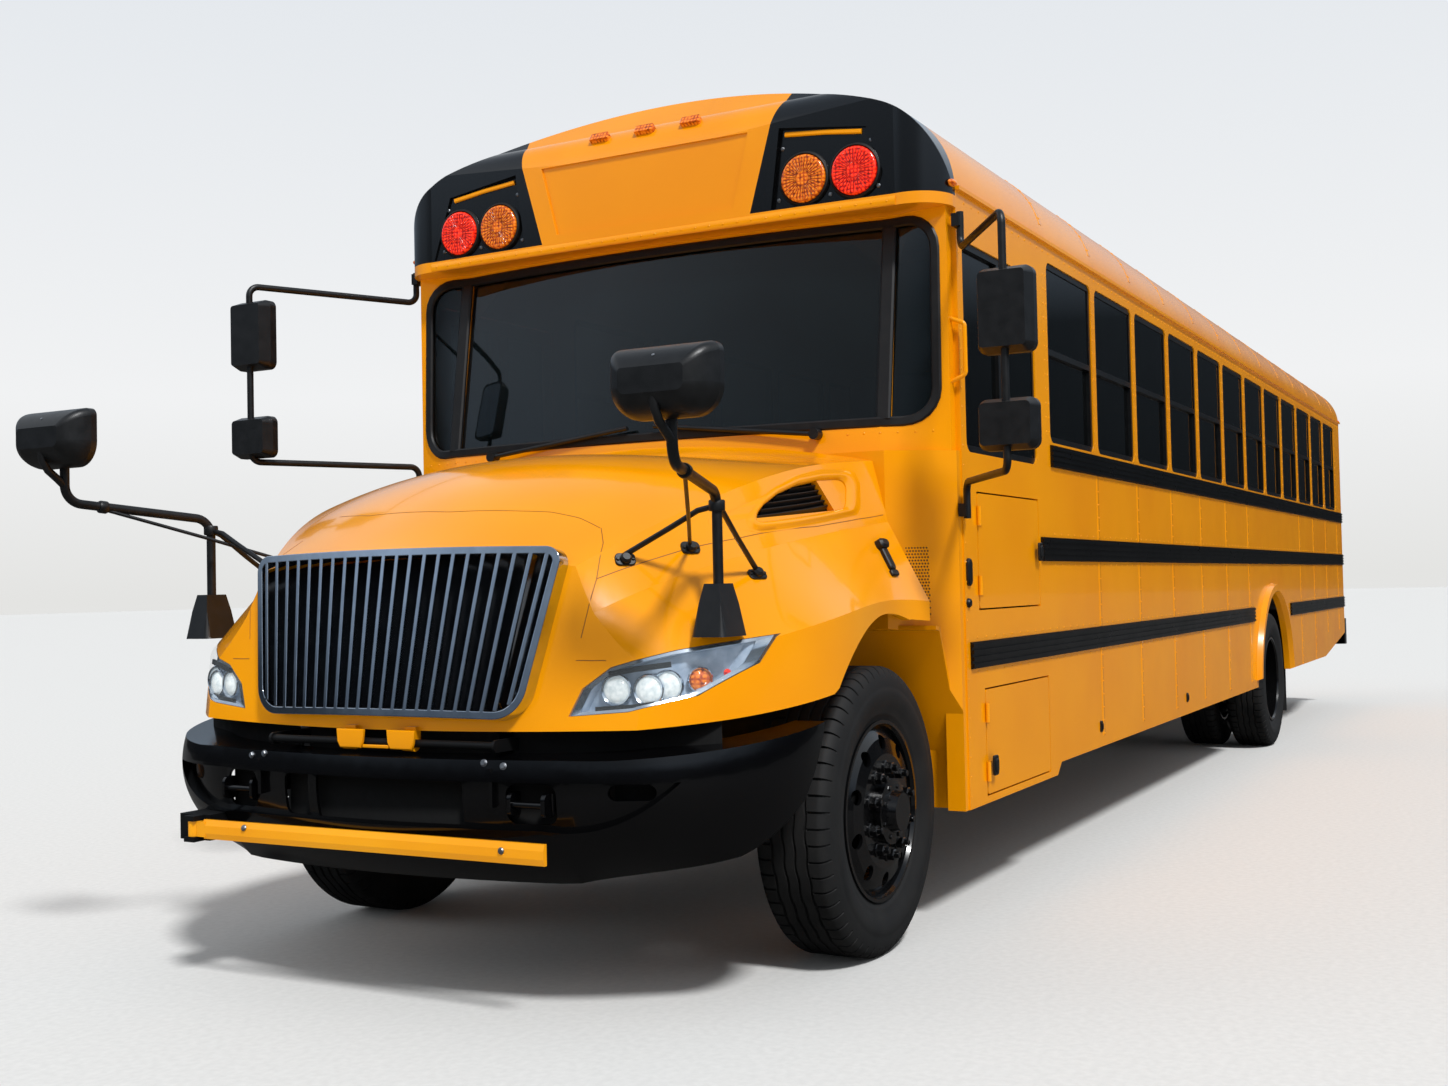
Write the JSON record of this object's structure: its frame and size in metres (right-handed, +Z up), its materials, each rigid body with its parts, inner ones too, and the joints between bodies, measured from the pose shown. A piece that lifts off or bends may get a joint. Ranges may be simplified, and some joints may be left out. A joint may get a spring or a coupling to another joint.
{
  "type": "school bus",
  "caption": "Conventional school bus: tilting hood ahead of a long windowed body on a ladder frame, with steered front wheels, twin rear wheels, split entry door, rear door and warning lamps.",
  "frame": {"origin": "on the road under the middle of the bus, at the centre of its plan outline", "axes": "+X forward along the bus, +Y to the driver's side, +Z up from the road"},
  "size_m": [12.62, 3.3, 3.202],
  "materials": {
    "body_yellow": "gloss school bus enamel on steel sheet",
    "roof_paint": "gloss enamel on steel sheet",
    "chassis_black": "satin black chassis paint",
    "engine_grey": "painted casting",
    "tank_black": "satin black",
    "exhaust_steel": "aluminised steel",
    "floor_grey": "steel floor with ribbed rubber on top",
    "trim_black": "black trim",
    "rail_black": "black enamel on ribbed steel",
    "sash_black": "black anodised",
    "glass": "tinted safety glass",
    "chrome": "bright plated",
    "lamp_amber": "moulded lens",
    "lamp_red": "moulded lens",
    "lamp_clear": "clear lens over a bright reflector",
    "wheel_black": "gloss black",
    "tyre_rubber": "rubber",
    "seat_vinyl": "coated fabric over foam",
    "seat_steel": "black enamel",
    "flap_rubber": "moulded rubber",
    "arm_yellow": "moulded bar"
  },
  "bodies": {
    "body": {"chassis_frame": "chassis_black", "front_axle": "chassis_black", "rear_axle": "chassis_black", "power_train": "engine_grey", "radiator": "chassis_black", "fuel_tank": "tank_black", "exhaust": "exhaust_steel", "floor": "floor_grey", "floor_wells": "floor_grey", "left_side": "body_yellow", "right_side": "body_yellow", "roof": "roof_paint", "rear_wall": "body_yellow", "front_cap": "body_yellow", "windshield_surround": "body_yellow", "windshield": "glass", "cowl": "body_yellow", "rub_rails": "rail_black", "window_frames": "sash_black", "window_glass": "glass", "side_mirrors": "trim_black", "wipers": "trim_black", "front_bumper": "chassis_black", "arm_actuator": "trim_black", "rear_bumper": "chassis_black", "amber_lamps": "lamp_amber", "red_lamps": "lamp_red", "dashboard": "trim_black", "driver_seat": "seat_vinyl", "bench_cushions": "seat_vinyl", "bench_frames": "seat_steel", "mud_flaps": "flap_rubber"},
    "hood": {"hood": "body_yellow", "grille": "chrome", "headlamps": "lamp_clear", "crossover_mirrors": "trim_black"},
    "knuckle_left": {"knuckle_left": "chassis_black"},
    "knuckle_right": {"knuckle_right": "chassis_black"},
    "front_wheel_left": {"front_wheel_left": "wheel_black", "front_tyre_left": "tyre_rubber"},
    "front_wheel_right": {"front_wheel_right": "wheel_black", "front_tyre_right": "tyre_rubber"},
    "rear_wheels_left": {"rear_wheels_left": "wheel_black", "rear_tyres_left": "tyre_rubber"},
    "rear_wheels_right": {"rear_wheels_right": "wheel_black", "rear_tyres_right": "tyre_rubber"},
    "steering_wheel": {"steering_wheel": "trim_black"},
    "entry_leaf_front": {"entry_leaf_front": "body_yellow", "entry_glass_front": "glass"},
    "entry_leaf_rear": {"entry_leaf_rear": "body_yellow", "entry_glass_rear": "glass"},
    "rear_door": {"rear_door": "body_yellow", "rear_door_glass": "glass"},
    "access_door": {"access_door": "body_yellow"},
    "battery_door": {"battery_door": "body_yellow"},
    "roof_hatch_front": {"roof_hatch_front": "roof_paint"},
    "roof_hatch_rear": {"roof_hatch_rear": "roof_paint"},
    "crossing_arm": {"crossing_arm": "arm_yellow"}
  },
  "joints": [
    {"name": "hood_tilt", "type": "hinge", "parent": "body", "child": "hood", "pos_m": [6.015, 0, 0.79], "axis": [0, 1, 0], "range_deg": [0, 75]},
    {"name": "steer_left", "type": "hinge", "parent": "body", "child": "knuckle_left", "pos_m": [4.81, 0.862, 0.478], "axis": [0, 0, 1], "range_deg": [-40, 40]},
    {"name": "steer_right", "type": "hinge", "parent": "body", "child": "knuckle_right", "pos_m": [4.81, -0.862, 0.478], "axis": [0, 0, 1], "range_deg": [-40, 40]},
    {"name": "front_left_spin", "type": "hinge", "parent": "knuckle_left", "child": "front_wheel_left", "pos_m": [4.81, 0.985, 0.478], "axis": [0, 1, 0], "continuous": true},
    {"name": "front_right_spin", "type": "hinge", "parent": "knuckle_right", "child": "front_wheel_right", "pos_m": [4.81, -0.985, 0.478], "axis": [0, 1, 0], "continuous": true},
    {"name": "rear_left_spin", "type": "hinge", "parent": "body", "child": "rear_wheels_left", "pos_m": [-2.2, 0.9115, 0.478], "axis": [0, 1, 0], "continuous": true},
    {"name": "rear_right_spin", "type": "hinge", "parent": "body", "child": "rear_wheels_right", "pos_m": [-2.2, -0.9115, 0.478], "axis": [0, 1, 0], "continuous": true},
    {"name": "steering_wheel_turn", "type": "hinge", "parent": "body", "child": "steering_wheel", "pos_m": [3.93, 0.56, 1.64], "axis": [-0.5736, 0, 0.8192], "range_deg": [-800, 800]},
    {"name": "entry_front_swing", "type": "hinge", "parent": "body", "child": "entry_leaf_front", "pos_m": [4.22, -1.2273, 1.45], "axis": [0, 0, 1], "range_deg": [0, 85]},
    {"name": "entry_rear_swing", "type": "hinge", "parent": "body", "child": "entry_leaf_rear", "pos_m": [3.38, -1.2273, 1.45], "axis": [0, 0, 1], "range_deg": [-85, 0]},
    {"name": "rear_door_swing", "type": "hinge", "parent": "body", "child": "rear_door", "pos_m": [-6.1683, -0.42, 1.75], "axis": [0, 0, 1], "range_deg": [0, 110]},
    {"name": "access_door_swing", "type": "hinge", "parent": "body", "child": "access_door", "pos_m": [4.143, 1.2273, 1.342], "axis": [0, 0, -1], "range_deg": [0, 100]},
    {"name": "battery_door_swing", "type": "hinge", "parent": "body", "child": "battery_door", "pos_m": [4.103, 1.2273, 0.638], "axis": [0, 0, -1], "range_deg": [0, 100]},
    {"name": "front_hatch_tilt", "type": "hinge", "parent": "body", "child": "roof_hatch_front", "pos_m": [1.95, 0, 3.164], "axis": [0, 1, 0], "range_deg": [0, 80]},
    {"name": "rear_hatch_tilt", "type": "hinge", "parent": "body", "child": "roof_hatch_rear", "pos_m": [-4.56, 0, 3.164], "axis": [0, 1, 0], "range_deg": [0, 80]},
    {"name": "crossing_arm_swing", "type": "hinge", "parent": "body", "child": "crossing_arm", "pos_m": [6.095, -0.692, 0.508], "axis": [0, 0, -1], "range_deg": [0, 90]}
  ],
  "couplings": [
    {"joint": "steer_right", "follows": "steer_left", "ratio": 1},
    {"joint": "steering_wheel_turn", "follows": "steer_left", "ratio": 20},
    {"joint": "entry_rear_swing", "follows": "entry_front_swing", "ratio": -1}
  ]
}
